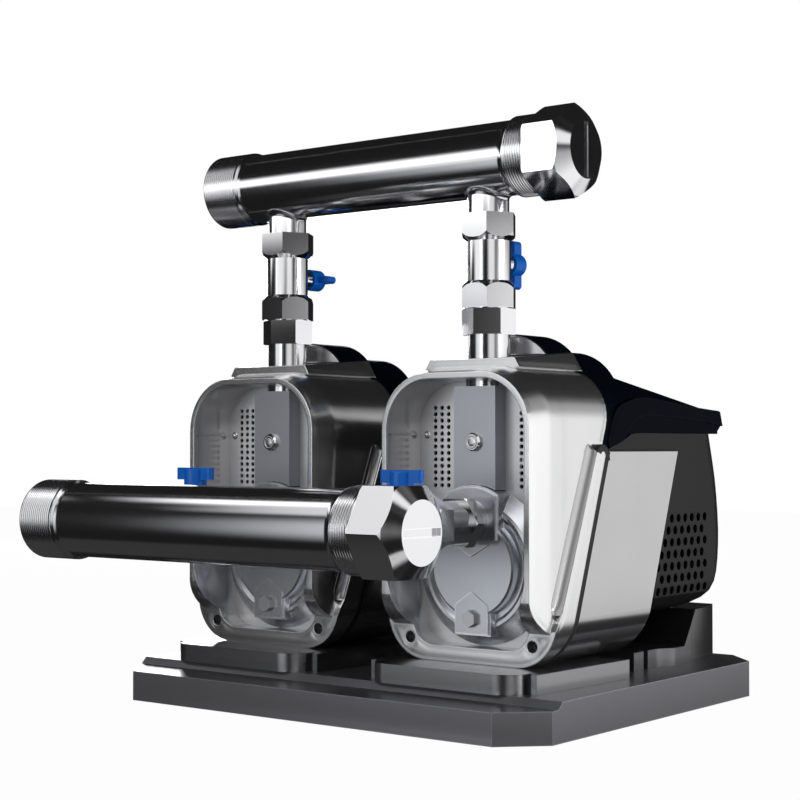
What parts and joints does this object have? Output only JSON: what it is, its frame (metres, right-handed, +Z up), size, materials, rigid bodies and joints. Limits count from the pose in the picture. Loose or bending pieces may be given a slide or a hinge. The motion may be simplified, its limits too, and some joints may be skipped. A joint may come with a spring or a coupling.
{
  "type": "booster pump",
  "caption": "Twin booster pump set on a base plate: close-coupled pumps with hooded casings, joined by a suction and a discharge header with ball valves.",
  "frame": {"origin": "middle of the base plate's underside", "axes": "+Z up from the floor, +X along both headers towards their caps, -Y out of the front, where the suction header is"},
  "size_m": [0.44, 0.4946, 0.4881],
  "materials": {
    "base": "dark grey coat over cast metal, satin",
    "polished_tube": "polished stainless tube",
    "bright_fittings": "bright plated",
    "steel_fasteners": "plain steel",
    "seal_rubber": "matte",
    "motor_castings": "as cast",
    "dark_screws": "blackened steel",
    "black_plastic": "fine grain",
    "hood_paint": "satin silver-grey paint over a casting",
    "panel_paint": "satin grey",
    "riser_paint": "satin blue-grey",
    "pump_steel": "bead-blasted casting with bright edges",
    "sleeve_paint": "satin light grey",
    "lid_plastic": "blue-black moulding",
    "cowl_paint": "dark metallic grey",
    "foot_iron": "dark coat",
    "impeller_brass": "as machined",
    "core_steel": "laminated core, stands in for lamination steel and windings",
    "handle_paint": "blue coat"
  },
  "bodies": {
    "pump_set": {"base_plate": "base", "suction_header": "polished_tube", "discharge_header": "polished_tube", "header_caps": "bright_fittings", "union_nuts": "bright_fittings", "branch_nipples": "polished_tube", "drain_plugs": "steel_fasteners", "vent_plugs": "bright_fittings", "bearings": "steel_fasteners", "shaft_seals": "seal_rubber", "motor_brackets": "motor_castings", "foot_bolts": "steel_fasteners", "housing_screws": "dark_screws", "cable_glands": "black_plastic", "left_front_housing": "hood_paint", "left_front_panel": "panel_paint", "left_riser_cover": "riser_paint", "left_pump_head": "pump_steel", "left_motor_sleeve": "sleeve_paint", "left_top_cover": "lid_plastic", "left_rear_cover": "cowl_paint", "left_front_foot": "foot_iron", "left_rear_foot": "foot_iron", "left_stator": "core_steel", "left_suction_nipple": "polished_tube", "left_discharge_nipple": "polished_tube", "left_suction_valve": "bright_fittings", "left_discharge_valve": "bright_fittings", "right_front_housing": "hood_paint", "right_front_panel": "panel_paint", "right_riser_cover": "riser_paint", "right_pump_head": "pump_steel", "right_motor_sleeve": "sleeve_paint", "right_top_cover": "lid_plastic", "right_rear_cover": "cowl_paint", "right_front_foot": "foot_iron", "right_rear_foot": "foot_iron", "right_stator": "core_steel", "right_suction_nipple": "polished_tube", "right_discharge_nipple": "polished_tube", "right_suction_valve": "bright_fittings", "right_discharge_valve": "bright_fittings"},
    "left_motor_rotor": {"left_impeller": "impeller_brass", "left_motor_shaft": "steel_fasteners", "left_rotor": "core_steel", "left_cooling_fan": "black_plastic"},
    "left_suction_ball_and_handle": {"left_suction_ball": "bright_fittings", "left_suction_handle": "handle_paint"},
    "left_discharge_ball_and_handle": {"left_discharge_ball": "bright_fittings", "left_discharge_handle": "handle_paint"},
    "left_check": {"left_check_disc": "impeller_brass"},
    "right_motor_rotor": {"right_impeller": "impeller_brass", "right_motor_shaft": "steel_fasteners", "right_rotor": "core_steel", "right_cooling_fan": "black_plastic"},
    "right_suction_ball_and_handle": {"right_suction_ball": "bright_fittings", "right_suction_handle": "handle_paint"},
    "right_discharge_ball_and_handle": {"right_discharge_ball": "bright_fittings", "right_discharge_handle": "handle_paint"},
    "right_check": {"right_check_disc": "impeller_brass"}
  },
  "joints": [
    {"name": "left_motor_spin", "type": "hinge", "parent": "pump_set", "child": "left_motor_rotor", "pos_m": [-0.109, 0, 0.122], "axis": [0, 1, 0], "continuous": true},
    {"name": "left_suction_valve_turn", "type": "hinge", "parent": "pump_set", "child": "left_suction_ball_and_handle", "pos_m": [-0.109, -0.1945, 0.1583], "axis": [0, 0, 1], "range_deg": [0, 90]},
    {"name": "left_discharge_valve_turn", "type": "hinge", "parent": "pump_set", "child": "left_discharge_ball_and_handle", "pos_m": [-0.109, -0.0795, 0.3683], "axis": [0, 1, 0], "range_deg": [0, 90]},
    {"name": "left_check_lift", "type": "slide", "parent": "pump_set", "child": "left_check", "axis": [0, 0, 1], "range_m": [0, 0.006]},
    {"name": "right_motor_spin", "type": "hinge", "parent": "pump_set", "child": "right_motor_rotor", "pos_m": [0.109, 0, 0.122], "axis": [0, 1, 0], "continuous": true},
    {"name": "right_suction_valve_turn", "type": "hinge", "parent": "pump_set", "child": "right_suction_ball_and_handle", "pos_m": [0.109, -0.1945, 0.1583], "axis": [0, 0, 1], "range_deg": [0, 90]},
    {"name": "right_discharge_valve_turn", "type": "hinge", "parent": "pump_set", "child": "right_discharge_ball_and_handle", "pos_m": [0.109, -0.0795, 0.3683], "axis": [0, 1, 0], "range_deg": [0, 90]},
    {"name": "right_check_lift", "type": "slide", "parent": "pump_set", "child": "right_check", "axis": [0, 0, 1], "range_m": [0, 0.006]}
  ]
}
